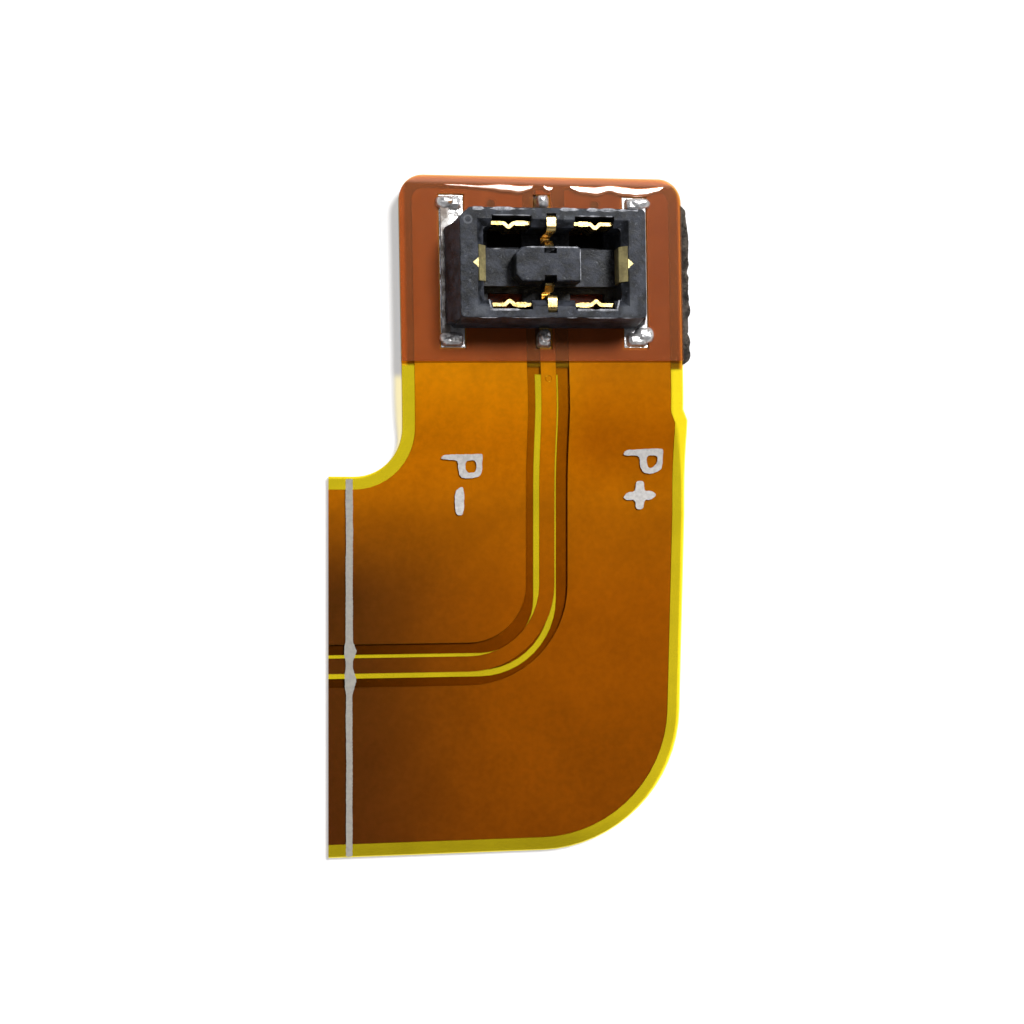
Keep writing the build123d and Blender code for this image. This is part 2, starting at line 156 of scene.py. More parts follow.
def bumped(tree, height, distance, strength=1.0):
    """Surface direction roughened by a height, over a depth in metres."""
    settings = {"Height": height, "Distance": distance, "Strength": strength}
    return shader_node(tree, "ShaderNodeBump", settings).outputs["Normal"]


def principled(tree, **values):
    """A Principled surface, with inputs named as Blender's are, with underscores for spaces."""
    made = shader_node(tree, "ShaderNodeBsdfPrincipled")
    for key, value in values.items():
        name = key.replace("_", " ")
        if isinstance(value, bpy.types.NodeSocket):
            tree.links.new(value, made.inputs[name])
        elif isinstance(value, tuple):
            made.inputs[name].default_value = (*value, 1.0)
        else:
            made.inputs[name].default_value = value
    return made.outputs[0]


def mixed(tree, share, first, second):
    return shader_node(tree, "ShaderNodeMixShader", {0: share, 1: first, 2: second}).outputs[0]


def upward(tree):
    """How much a face looks up, from -1 to 1, told from outside whichever side is seen."""
    face = shader_node(tree, "ShaderNodeNewGeometry")
    height = along(tree, face.outputs["Normal"], 2)
    turned = math_node(tree, "MULTIPLY_ADD", face.outputs["Backfacing"], -2.0, 1.0)
    return math_node(tree, "MULTIPLY", height, turned)


def top_face(tree, facing):
    """1 on faces that look up, and 0 on all others."""
    return remap(tree, facing, 0.45, 0.55)


def outer_side(tree, facing):
    """1 on a film's cut edges seen from outside, and 0 on its faces and on edges seen through it."""
    steep = math_node(tree, "SUBTRACT", 1.0, remap(tree, math_node(tree, "ABSOLUTE", facing), 0.3, 0.5))
    face = shader_node(tree, "ShaderNodeNewGeometry")
    outside = math_node(tree, "SUBTRACT", 1.0, face.outputs["Backfacing"])
    return math_node(tree, "MULTIPLY", steep, outside)


def see_through(tree, is_top, tint):
    """Clear film. Its top face alone carries the tint, so that light is coloured once on its way down."""
    colour = blend_colours(tree, is_top, (1.0, 1.0, 1.0), tint)
    return shader_node(tree, "ShaderNodeBsdfTransparent", {"Color": colour}).outputs[0]


def head_place(tree, place):
    """Distances from the socket's middle, across the head and along it."""
    centre = SOCKET_MIDDLE / MM
    moved = shader_node(
        tree, "ShaderNodeVectorMath", {0: place, 1: (centre.x, centre.y, 0.0)}, operation="SUBTRACT"
    ).outputs[0]
    turned = shader_node(
        tree, "ShaderNodeVectorRotate", {"Vector": moved, "Angle": -LEAN}, rotation_type="Z_AXIS"
    ).outputs[0]
    return along(tree, turned, 0), along(tree, turned, 1)


def tinted_film(name, tint, edge_colour, lowest_shade=1.0):
    """See-through film. Its top face carries the whole tint, and its cut edges show its own colour.

    Along the tail's lowest edge the tint is darkened to the given share, a painted shade."""
    material, tree = new_material(name)
    place = millimetres(tree)
    facing = upward(tree)
    is_top = top_face(tree, facing)
    mottle = remap(tree, speckle(tree, place, 0.55, 4.0), 0.35, 0.65, 0.94, 1.0)
    # Painted shade: the tint darkens towards the tail's lowest edge
    grime_and_shade = remap(tree, along(tree, place, 1), -9.2, -8.2, lowest_shade, 1.0)
    shade = blend_colours(tree, 1.0, tint, math_node(tree, "MULTIPLY", mottle, grime_and_shade), "MULTIPLY")
    ripple = bumped(tree, speckle(tree, place, 1.6, 2.0), 0.02 * MM, 0.5)
    shine = shader_node(
        tree, "ShaderNodeBsdfGlossy", {"Color": (1.0, 1.0, 1.0, 1.0), "Roughness": 0.18, "Normal": ripple}
    ).outputs[0]
    mirror = shader_node(tree, "ShaderNodeFresnel", {"IOR": 1.12, "Normal": ripple}).outputs[0]
    glossy = mixed(tree, math_node(tree, "MULTIPLY", mirror, is_top), see_through(tree, is_top, shade), shine)
    edge = principled(tree, Base_Color=edge_colour, Roughness=0.35)
    finish_material(tree, mixed(tree, outer_side(tree, facing), glossy, edge))
    return material


def copper_foil(name):
    """Rolled copper, its colour painted with the light it reflects: bright near the head and dark brown
    towards the cut end, with a painted bluish sheen at the lower left and painted shade over the right near
    the head.
    """
    material, tree = new_material(name)
    place = millimetres(tree)
    # Painted reflected light: bright near the head, darker towards the cut end
    down = remap(tree, along(tree, place, 1), 4.5, -9.3, smooth=False)
    tone = ramp(
        tree,
        down,
        [
            (0.00, (0.600, 0.270, 0.016)),
            (0.08, (0.640, 0.265, 0.016)),
            (0.18, (0.590, 0.225, 0.016)),
            (0.25, (0.500, 0.180, 0.016)),
            (0.34, (0.367, 0.120, 0.018)),
            (0.50, (0.340, 0.098, 0.018)),
            (0.70, (0.285, 0.080, 0.022)),
            (1.00, (0.220, 0.060, 0.045)),
        ],
    )
    # Painted sheen: a dark bluish haze at the lower left
    left = remap(tree, along(tree, place, 0), 0.5, -5.0)
    low = remap(tree, along(tree, place, 1), 1.0, -2.5)
    low_left_sheen = math_node(tree, "MULTIPLY", left, low)
    tone = blend_colours(tree, low_left_sheen, tone, (0.082, 0.019, 0.110))
    # Painted shade: darker over the right-hand plane near the head
    right = remap(tree, along(tree, place, 0), 0.9, 2.4)
    high = remap(tree, along(tree, place, 1), 0.3, 2.2)
    high_right = math_node(tree, "MULTIPLY", right, high)
    darker_right_tone = blend_colours(tree, 1.0, tone, (0.78, 0.68, 0.80), "MULTIPLY")
    tone = blend_colours(tree, high_right, tone, darker_right_tone)
    grain = remap(tree, speckle(tree, place, 5.0, 6.0, 0.7), 0.3, 0.7, 0.90, 1.08)
    tone = blend_colours(tree, 1.0, tone, grain, "MULTIPLY")
    rolled = bumped(tree, speckle(tree, place, 14.0, 2.0), 0.004 * MM, 0.4)
    surface = principled(tree, Base_Color=tone, Roughness=0.55, Specular_IOR_Level=0.25, Normal=rolled)
    finish_material(tree, surface)
    return material


def stiffener_plate():
    """Glass-cloth plate with its weave."""
    material, tree = new_material("glass_cloth_plate")
    place = millimetres(tree)
    weave = shader_node(
        tree,
        "ShaderNodeTexBrick",
        {"Vector": place, "Scale": 2.5, "Mortar Size": 0.03, "Brick Width": 0.5, "Row Height": 0.5},
    )
    tone = blend_colours(tree, weave.outputs["Fac"], (0.62, 0.50, 0.26), (0.44, 0.34, 0.15))
    finish_material(tree, principled(tree, Base_Color=tone, Roughness=0.6))
    return material


# From the socket's middle: where its shade on the film ends, across and along the head, and where the copper
# under the film ends. Then where the core's border lies at the sides, and how much nearer at the rear.
SHADE_ACROSS, SHADE_ALONG = (2.3, 2.4), (1.40, 1.50)
COPPER_END = (2.34, 2.46)
BORDER, BORDER_NEARER = (3.3, 4.1), 1.36


def brown_film():
    """Red-brown film over the head, part see-through, lighter past the copper with a painted sheen there, and
    with painted shade under the socket, darkest at its rear.
    """
    material, tree = new_material("red_brown_film")
    place = millimetres(tree)
    facing = upward(tree)
    is_top = top_face(tree, facing)
    across, onward = head_place(tree, place)
    # Painted shade under the socket: tint and body darken there, nearly black at the rear, dark red at the
    # front
    beside = remap(tree, math_node(tree, "ABSOLUTE", across), *SHADE_ACROSS, 1.0, 0.0)
    before = remap(tree, math_node(tree, "ABSOLUTE", onward), *SHADE_ALONG, 1.0, 0.0)
    under_socket = math_node(tree, "MULTIPLY", beside, before)
    lower = remap(tree, onward, 0.3, -0.3)
    shaded = blend_colours(tree, lower, (0.04, 0.03, 0.03), (0.60, 0.36, 0.28))
    tint = blend_colours(tree, under_socket, (0.88, 0.52, 0.30), shaded)
    cloud = remap(tree, speckle(tree, place, 0.8, 4.0), 0.35, 0.65)
    tone = blend_colours(tree, cloud, (0.34, 0.092, 0.018), (0.40, 0.115, 0.026))
    # Lighter past the copper's end, where no copper lies beneath, and with a painted pinkish sheen
    past_copper = remap(tree, onward, *COPPER_END)
    tone = blend_colours(tree, past_copper, tone, (0.85, 0.40, 0.24))
    socket_shade_tone = blend_colours(tree, lower, (0.006, 0.003, 0.003), (0.085, 0.026, 0.020))
    tone = blend_colours(tree, under_socket, tone, socket_shade_tone)
    ripple = bumped(tree, speckle(tree, place, 2.2, 3.0), 0.01 * MM, 0.5)
    body = principled(tree, Base_Color=tone, Roughness=0.40, Specular_IOR_Level=0.15, Normal=ripple)
    share = math_node(tree, "MULTIPLY_ADD", is_top, 0.42, outer_side(tree, facing))
    finish_material(tree, mixed(tree, share, see_through(tree, is_top, tint), body))
    return material


def core_film():
    """Core between the two copper layers, see-through in the tail and backed by the plate in the head, where
    a band beside the copper's side edges is painted shade.
    """
    material, tree = new_material("amber_core_film")
    place = millimetres(tree)
    facing = upward(tree)
    is_top = top_face(tree, facing)
    clear = see_through(tree, is_top, (0.78, 0.72, 0.30))
    across, onward = head_place(tree, place)
    beside = math_node(tree, "ABSOLUTE", across)
    above = math_node(tree, "ADD", onward, BORDER_NEARER)
    outward = remap(tree, math_node(tree, "MAXIMUM", beside, above), *BORDER, smooth=False)
    # Dark within the head and in a band just outside the copper's side edges, a painted shade where the film
    # slopes away from the light; light amber past it
    body_tone = ramp(
        tree,
        outward,
        [
            (0.00, (0.10, 0.035, 0.012)),
            (0.60, (0.16, 0.055, 0.015)),
            (0.70, (0.90, 0.40, 0.05)),
            (1.00, (1.00, 0.46, 0.06)),
        ],
    )
    body = principled(tree, Base_Color=body_tone, Roughness=0.5)
    in_head = remap(tree, along(tree, place, 1), *HEAD_START)
    backed = math_node(tree, "MULTIPLY", in_head, is_top)
    share = math_node(tree, "MAXIMUM", backed, outer_side(tree, facing))
    finish_material(tree, mixed(tree, share, clear, body))
    return material


# Pale patches on the rim, and the ejector's ring on its rear corner: each across and along the head from the
# socket's middle, and its reach. The rim's height is taken from the head's film.
PALE_RIM_PATCHES = ((-1.98, -1.22, 0.26), (2.02, -1.16, 0.26), (0.46, 1.10, 0.20))
EJECTOR_RING = (-2.28, 1.12, 0.10)
RIM_HEIGHT = 1.40


def moulded_black():
    """Filled black plastic: satin, with flow marks, grey scuffs, pale patches on the rim and the ejector's
    ring.
    """
    material, tree = new_material("moulded_black_plastic")
    place = millimetres(tree)
    cloud = remap(tree, speckle(tree, place, 3.0, 5.0, 0.65), 0.38, 0.64)
    tone = blend_colours(tree, cloud, (0.006, 0.007, 0.009), (0.050, 0.055, 0.070))
    scuffs = remap(tree, speckle(tree, place, 8.0, 8.0, 0.85), 0.56, 0.66)
    tone = blend_colours(tree, math_node(tree, "MULTIPLY", scuffs, 0.6), tone, (0.24, 0.26, 0.29))
    across, onward = head_place(tree, place)
    rim = SEAT / MM + RIM_HEIGHT
    at_rim = remap(tree, along(tree, place, 2), rim - 0.10, rim - 0.02)
    # Pale patches on the rim's top, lighter than the plastic around them
    for u, v, reach in PALE_RIM_PATCHES:
        away = math_node(
            tree,
            "MAXIMUM",
            math_node(tree, "ABSOLUTE", math_node(tree, "SUBTRACT", across, u)),
            math_node(tree, "ABSOLUTE", math_node(tree, "SUBTRACT", onward, v)),
        )
        facet = math_node(tree, "MULTIPLY", remap(tree, away, reach * 1.1, reach * 0.3), at_rim)
        tone = blend_colours(tree, math_node(tree, "MULTIPLY", facet, 0.7), tone, (0.105, 0.115, 0.135))
    u, v, radius = EJECTOR_RING
    flat_place = shader_node(tree, "ShaderNodeCombineXYZ", {0: across, 1: onward}).outputs[0]
    from_middle = shader_node(
        tree, "ShaderNodeVectorMath", {0: flat_place, 1: (u, v, 0.0)}, operation="DISTANCE"
    ).outputs["Value"]
    off_line = math_node(tree, "ABSOLUTE", math_node(tree, "SUBTRACT", from_middle, radius))
    ring = math_node(tree, "MULTIPLY", remap(tree, off_line, 0.035, 0.010), at_rim)
    tone = blend_colours(tree, math_node(tree, "MULTIPLY", ring, 0.7), tone, (0.16, 0.17, 0.19))
    relief = math_node(tree, "ADD", speckle(tree, place, 12.0, 6.0, 0.7), speckle(tree, place, 2.5, 2.0))
    skin = bumped(tree, relief, 0.03 * MM, 0.55)
    gloss = remap(tree, speckle(tree, place, 6.0, 3.0), 0.3, 0.7, 0.38, 0.60)
    surface = principled(tree, Base_Color=tone, Roughness=gloss, Specular_IOR_Level=0.22, Normal=skin)
    finish_material(tree, surface)
    return material


def burr_and_highlight_plastic():
    """The same plastic, pale along edges that are burred and along edges that stand for painted highlights.
    """
    material, tree = new_material("burr_and_painted_highlight_plastic")
    place = millimetres(tree)
    rub = remap(tree, speckle(tree, place, 7.0, 4.0, 0.7), 0.35, 0.65)
    tone = blend_colours(tree, rub, (0.20, 0.21, 0.23), (0.66, 0.67, 0.72))
    skin = bumped(tree, speckle(tree, place, 20.0, 3.0), 0.006 * MM, 0.6)
    finish_material(tree, principled(tree, Base_Color=tone, Roughness=0.40, Normal=skin))
    return material


def gold_plate():
    """Gold on drawn spring metal, with tarnish in cloudy patches."""
    material, tree = new_material("gold_plate")
    place = millimetres(tree)
    patches = remap(tree, speckle(tree, place, 4.0, 4.0, 0.6), 0.38, 0.68)
    tone = blend_colours(tree, patches, (0.80, 0.60, 0.24), (0.52, 0.34, 0.12))
    drawn = bumped(tree, speckle(tree, place, 18.0, 3.0), 0.006 * MM, 0.5)
    rough = remap(tree, speckle(tree, place, 7.0, 2.0), 0.3, 0.7, 0.24, 0.375)
    surface = principled(tree, Base_Color=tone, Metallic=1.0, Roughness=rough, Normal=drawn)
    finish_material(tree, surface)
    return material


def hold_down_metal():
    """One stamping: tin on the soldered strip, with a painted highlight that makes it brighter at the right,
    and gold inside the socket.
    """
    material, tree = new_material("tin_and_gold_plate")
    place = millimetres(tree)
    high = remap(tree, along(tree, place, 2), SEAT / MM + 0.10, SEAT / MM + 0.22)
    patches = remap(tree, speckle(tree, place, 3.0, 5.0, 0.65), 0.40, 0.58)
    tin = blend_colours(tree, patches, (0.50, 0.48, 0.46), (0.16, 0.13, 0.11))
    highlit_tin = blend_colours(tree, patches, (0.84, 0.84, 0.86), (0.52, 0.50, 0.50))
    # Painted highlight: the tin is brighter towards the right, where the light falls
    tin = blend_colours(tree, remap(tree, along(tree, place, 0), 0.5, 1.0), tin, highlit_tin)
    gold = blend_colours(tree, patches, (0.66, 0.57, 0.27), (0.44, 0.37, 0.18))
    tone = blend_colours(tree, high, tin, gold)
    dents = bumped(tree, speckle(tree, place, 10.0, 4.0), 0.02 * MM, 0.5)
    metal = remap(tree, high, 0.0, 1.0, 0.40, 0.85, smooth=False)
    finish_material(tree, principled(tree, Base_Color=tone, Metallic=metal, Roughness=0.52, Normal=dents))
    return material


def solder_metal():
    """Bright solder with frosted patches and spots of brown flux."""
    material, tree = new_material("bright_solder")
    place = millimetres(tree)
    frost = remap(tree, speckle(tree, place, 6.0, 4.0, 0.6), 0.4, 0.65)
    tone = blend_colours(tree, frost, (0.88, 0.88, 0.88), (0.50, 0.47, 0.45))
    flux = remap(tree, speckle(tree, place, 3.0, 3.0), 0.62, 0.72)
    tone = blend_colours(tree, flux, tone, (0.30, 0.16, 0.08))
    skin = bumped(tree, speckle(tree, place, 5.0, 3.0, 0.5), 0.05 * MM, 0.5)
    finish_material(tree, principled(tree, Base_Color=tone, Metallic=0.7, Roughness=0.26, Normal=skin))
    return material


def foam_rubber():
    """Grey-brown foam with torn open cells, and painted shade in their hollows."""
    material, tree = new_material("torn_grey_foam")
    place = millimetres(tree)
    cells = speckle(tree, place, 7.0, 8.0, 0.75)
    grime_and_shade = remap(tree, speckle(tree, place, 2.6, 6.0, 0.75), 0.38, 0.62)
    tone = blend_colours(tree, grime_and_shade, (0.045, 0.040, 0.036), (0.16, 0.140, 0.120))
    # Painted shade: darker where the cells sink
    pit_shade = remap(tree, cells, 0.50, 0.38)
    tone = blend_colours(tree, pit_shade, tone, (0.025, 0.022, 0.020))
    skin = bumped(tree, cells, 0.06 * MM)
    surface = principled(tree, Base_Color=tone, Roughness=0.95, Specular_IOR_Level=0.1, Normal=skin)
    finish_material(tree, surface)
    return material


def white_ink(name, colour, worn):
    """Screen-printed ink, thin and a little worn."""
    material, tree = new_material(name)
    place = millimetres(tree)
    wear = remap(tree, speckle(tree, place, 9.0, 5.0, 0.7), 0.35, 0.70)
    tone = blend_colours(tree, wear, colour, worn)
    skin = bumped(tree, speckle(tree, place, 16.0, 4.0), 0.004 * MM, 0.6)
    finish_material(tree, principled(tree, Base_Color=tone, Roughness=0.55, Normal=skin))
    return material


def adhesive_bead():
    """Glossy ridge where the films pass over the edge of the copper."""
    material, tree = new_material("glossy_film_ridge")
    place = millimetres(tree)
    tone = blend_colours(tree, speckle(tree, place, 3.0), (0.42, 0.14, 0.05), (0.50, 0.20, 0.09))
    skin = bumped(tree, speckle(tree, place, 2.5, 3.0), 0.020 * MM, 0.6)
    surface = principled(
        tree,
        Base_Color=tone,
        Roughness=0.18,
        Specular_IOR_Level=0.9,
        Coat_Weight=1.0,
        Coat_Roughness=0.10,
        Normal=skin,
    )
    finish_material(tree, surface)
    return material


# Finishes of the model's own pieces
amber_top = tinted_film("amber_cover_film", (0.98, 0.86, 0.16), (0.50, 0.27, 0.02))
amber_back = tinted_film("amber_back_film", (1.00, 0.95, 0.28), (0.50, 0.30, 0.03), lowest_shade=0.60)
foil = copper_foil("rolled_copper")
gold = gold_plate()
finishes = {
    "top_coverlay": amber_top,
    "bottom_coverlay": amber_back,
    "base_film": core_film(),
    "head_cover_film": brown_film(),
    "stiffener": stiffener_plate(),
    "socket_housing": moulded_black(),
    "hold_down_left": hold_down_metal(),
}
finishes["hold_down_right"] = finishes["hold_down_left"]
solder_finish = solder_metal()
for name in nodes:
    if "copper" in name or "via" in name:
        finishes[name] = foil
    elif "contact" in name:
        finishes[name] = gold
    elif "solder" in name:
        finishes[name] = solder_finish
foam_finish = foam_rubber()
finishes["foam_pad"] = foam_finish
for name, node in nodes.items():
    for material_slot in node.material_slots:
        material_slot.material = finishes[name]


def film_height(y):
    """Height of the laminate's top face at y, on the tail, the step or the head."""
    angle = 2 * math.atan(LIFT / STEP_RUN)
    radius = STEP_RUN / (2 * math.sin(angle))
    climb = y - STEP_START
    if climb <= 0:
        return STACK
    if climb >= STEP_RUN:
        return LIFT + STACK
    if climb < (radius - STACK) * math.sin(angle):
        return radius - math.sqrt((radius - STACK) ** 2 - climb**2)
    return LIFT - radius + math.sqrt((radius + STACK) ** 2 - (STEP_RUN - climb) ** 2)


def ragged(outline, step, wander):
    """Points along a closed outline, a step apart, each moved at random by up to wander."""
    points = []
    for start, end in zip(outline, outline[1:] + outline[:1]):
        start, end = Vector(start), Vector(end)
        count = max(1, round((end - start).length / step))
        for index in range(count):
            shift = Vector((chance.uniform(-wander, wander), chance.uniform(-wander, wander)))
            points.append(start.lerp(end, index / count) + shift)
    return points


def softened(outline):
    """A closed outline with its corners cut off twice, as ink rounds them."""
    points = [Vector(point) for point in outline]
    for _ in range(2):
        halves = []
        for start, end in zip(points, points[1:] + points[:1]):
            halves += [start.lerp(end, 0.22), start.lerp(end, 0.78)]
        points = halves
    return points


def join_rings(shape, rings):
    """Faces between rings of points that follow each other."""
    for first, second in zip(rings, rings[1:]):
        for index in range(len(first)):
            following = (index + 1) % len(first)
            shape.faces.new((first[index], first[following], second[following], second[index]))


def mesh_object(name, shape, material):
    """Turns a bmesh into a finished piece that rides with the lead."""
    bmesh.ops.recalc_face_normals(shape, faces=shape.faces)
    mesh = bpy.data.meshes.new(name)
    shape.to_mesh(mesh)
    shape.free()
    mesh.materials.append(material)
    piece = bpy.data.objects.new(name, mesh)
    bpy.context.collection.objects.link(piece)
    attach(piece, "root")
    return piece


def smoothed(piece, crease=25.0):
    """Shades a piece smooth, but for its edges that turn more than the crease."""
    for face in piece.data.polygons:
        face.use_smooth = True
    piece.data.set_sharp_from_angle(angle=math.radians(crease))


# Ink: its thickness, the step and wander of its edges, and the slices in which it bends with the film
INK_THICKNESS = 0.012
INK_STEP, INK_WANDER = 0.06, 0.006
INK_SLICE = 0.1


def printed_mark(name, outlines, material):
    """Ink printed on the film: flat shapes in millimetres, holes included, laid over the film's height."""
    curve = bpy.data.curves.new(name + "_outline", "CURVE")
    curve.dimensions = "2D"
    curve.fill_mode = "BOTH"
    curve.extrude = INK_THICKNESS / 2 * MM
    for outline in outlines:
        points = ragged(softened(outline), INK_STEP, INK_WANDER)
        spline = curve.splines.new("POLY")
        spline.points.add(len(points) - 1)
        for point, place in zip(spline.points, points):
            point.co = (place.x * MM, place.y * MM, 0.0, 1.0)
        spline.use_cyclic_u = True
    holder = bpy.data.objects.new(name + "_outline", curve)
    bpy.context.collection.objects.link(holder)
    mesh = bpy.data.meshes.new_from_object(holder)
    bpy.data.objects.remove(holder)
    shape = bmesh.new()
    shape.from_mesh(mesh)
    bpy.data.meshes.remove(mesh)
    bmesh.ops.remove_doubles(shape, verts=shape.verts, dist=0.0005 * MM)
    low = min(vertex.co.y for vertex in shape.verts)
    high = max(vertex.co.y for vertex in shape.verts)
    cut = low + INK_SLICE * MM
    while cut < high:
        everything = shape.verts[:] + shape.edges[:] + shape.faces[:]
        bmesh.ops.bisect_plane(shape, geom=everything, plane_co=(0, cut, 0), plane_no=(0, 1, 0))
        cut += INK_SLICE * MM
    for vertex in shape.verts:
        vertex.co.z += film_height(vertex.co.y) + INK_THICKNESS / 2 * MM
    mesh_object(name, shape, material)


# Polarity marks beside the middle track, lying on their backs: P and a minus, P and a plus
letter_ink = white_ink("white_letter_ink", (0.68, 0.65, 0.62), (0.50, 0.48, 0.46))
minus_letter = [
    [(-1.99, 1.54), (-1.93, 1.62), (-1.68, 1.64), (-1.20, 1.645), (-0.86, 1.66), (-0.84, 1.62),
     (-0.85, 1.05), (-1.15, 0.98), (-1.45, 1.00), (-1.51, 1.25), (-1.52, 1.45), (-1.58, 1.48), (-1.93, 1.50)],
    [(-1.31, 1.47), (-1.01, 1.49), (-1.00, 1.16), (-1.23, 1.13), (-1.31, 1.23)],
]
printed_mark("minus_side_letter", minus_letter, letter_ink)
minus_sign = [(-1.46, 0.74), (-1.34, 0.74), (-1.34, -0.02), (-1.56, -0.04), (-1.60, 0.30), (-1.59, 0.62)]
printed_mark("minus_sign", [minus_sign], letter_ink)
plus_letter = [
    [(3.12, 1.63), (3.18, 1.79), (3.50, 1.81), (4.02, 1.84), (4.25, 1.83), (4.27, 1.74), (4.26, 1.28),
     (4.13, 1.19), (3.93, 1.13), (3.70, 1.17), (3.62, 1.36), (3.60, 1.59), (3.52, 1.64)],
    [(3.79, 1.65), (4.12, 1.65), (4.11, 1.43), (3.94, 1.28), (3.83, 1.32)],
]
printed_mark("plus_side_letter", plus_letter, letter_ink)
plus_sign = [
    (3.14, 0.46), (3.26, 0.61), (3.50, 0.63), (3.51, 0.93), (3.74, 0.94), (3.75, 0.64), (3.95, 0.66),
    (4.12, 0.54), (3.95, 0.40), (3.75, 0.41), (3.73, 0.14), (3.51, 0.13), (3.50, 0.41), (3.26, 0.39),
]
printed_mark("plus_sign", [plus_sign], letter_ink)

# White line across the leg, where the lead is folded: its place, half its width and how much thinner that is
# below the lower run, its points' step, how it wavers and drifts, its ends, and where its ink has run at the
# two gaps in the copper
FOLD_X = -4.480
FOLD_HALF = 0.096
FOLD_THIN = 0.010
FOLD_STEP = 0.06
FOLD_WAVER, FOLD_DRIFT = 0.012, 0.015
LEG_LOW, LEG_HIGH = -9.30, 1.00
INK_RUNS = ((-3.72, 0.26), (-4.53, 0.36))
RUN_LEFT, RUN_RIGHT = 0.035, 0.105
fold_ink = white_ink("grey_fold_ink", (0.42, 0.395, 0.34), (0.33, 0.315, 0.29))
left_side, right_side = [], []
y = LEG_LOW
while y < LEG_HIGH:
    run = sum(max(0.0, 1 - abs(y - place) / reach) for place, reach in INK_RUNS)
    thinner = FOLD_THIN if y < INK_RUNS[1][0] else 0.0
    half = FOLD_HALF - thinner + FOLD_WAVER * noise.noise(Vector((0.0, y * 1.7, 4.0)))
    shift = FOLD_DRIFT * noise.noise(Vector((3.0, y * 0.8, 0.0)))
    left_side.append((FOLD_X + shift - half - RUN_LEFT * min(1.0, 2 * run), y))
    right_side.append((FOLD_X + shift + half + RUN_RIGHT * run, y))
    y += FOLD_STEP
printed_mark("fold_line", [left_side + right_side[::-1]], fold_ink)


def on_head(u, v, height):
    """Place of a point across and along the head from the socket's middle, in millimetres."""
    return Vector(
        (
            SOCKET_MIDDLE.x + (u * math.cos(LEAN) - v * math.sin(LEAN)) * MM,
            SOCKET_MIDDLE.y + (u * math.sin(LEAN) + v * math.cos(LEAN)) * MM,
            height * MM,
        )
    )


# Foam pad: its sides from the socket's middle, its corners' radius, the levels of its edge, and how deep that
# edge is hollowed at top and bottom, worn all round, pitted by cells and torn
FOAM_SIDES = -3.50, 4.22, -2.54, 2.02
FOAM_CORNER = 0.35
FOAM_LEVELS = 9
FOAM_BULGE, FOAM_WORN, FOAM_CELL, FOAM_TEAR = 0.035, 0.03, 0.06, 0.07


def torn_foam():
    """The foam pad with its torn, open-celled edge, a hair past its plain solid at the right."""
    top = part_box("foam_pad")[1].z / MM
    left, right, near, far = FOAM_SIDES
    corner = FOAM_CORNER
    outline = []
    for centre_u, centre_v, start in (
        (right - corner, far - corner, 0),
        (left + corner, far - corner, 90),
        (left + corner, near + corner, 180),
        (right - corner, near + corner, 270),
    ):
        for index in range(7):
            angle = math.radians(start + 15 * index)
            outline.append((centre_u + corner * math.cos(angle), centre_v + corner * math.sin(angle)))
    ring = ragged(outline, 0.05, 0.004)
    centre = Vector((0.3, -0.26))
    shape = bmesh.new()
    rows = []
    for level in range(FOAM_LEVELS):
        share = level / (FOAM_LEVELS - 1)
        height = top * share
        bulge = FOAM_BULGE * (2 * share - 1) ** 2
        row = []
        for point in ring:
            cell = noise.noise(Vector((point.x * 4.5, point.y * 4.5, height * 5.0)))
            tear = noise.noise(Vector((point.x * 1.6, point.y * 1.6, 9.0)))
            depth = bulge + FOAM_WORN + FOAM_CELL * cell + FOAM_TEAR * tear
            inward = (centre - point).normalized() * max(0.0, depth)
            row.append(shape.verts.new(on_head(point.x + inward.x, point.y + inward.y, height)))
        rows.append(row)
    join_rings(shape, rows)
    shape.faces.new(rows[-1])
    shape.faces.new(list(reversed(rows[0])))
    piece = mesh_object("torn_foam_pad", shape, foam_finish)
    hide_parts("foam_pad")


torn_foam()


# Slope of the film over the copper's top edge: its place along the head, its width and its steepness
RIDGE_V, RIDGE_WIDTH, RIDGE_SLOPE = 2.28, 0.18, 0.112

# Its section, across from its foot and up, as shares of its width and height
RIDGE_PROFILE = [
    (0.00, 0.00), (0.10, 0.02), (0.25, 0.12), (0.45, 0.36), (0.65, 0.62),
    (0.80, 0.78), (0.94, 0.86), (1.06, 0.84), (1.18, 0.50), (1.26, 0.00),
]

# Its step, the length of its rounded ends, the share of its width where it is thin, its waves and drift, and
# how deep its foot stands in the film
RIDGE_STEP = 0.04
RIDGE_TAPER = 0.45
RIDGE_THIN = 0.30
RIDGE_LONG_WAVE, RIDGE_SHORT_WAVE = 0.24, 0.20
RIDGE_DRIFT = 0.06
RIDGE_SUNK = 0.002


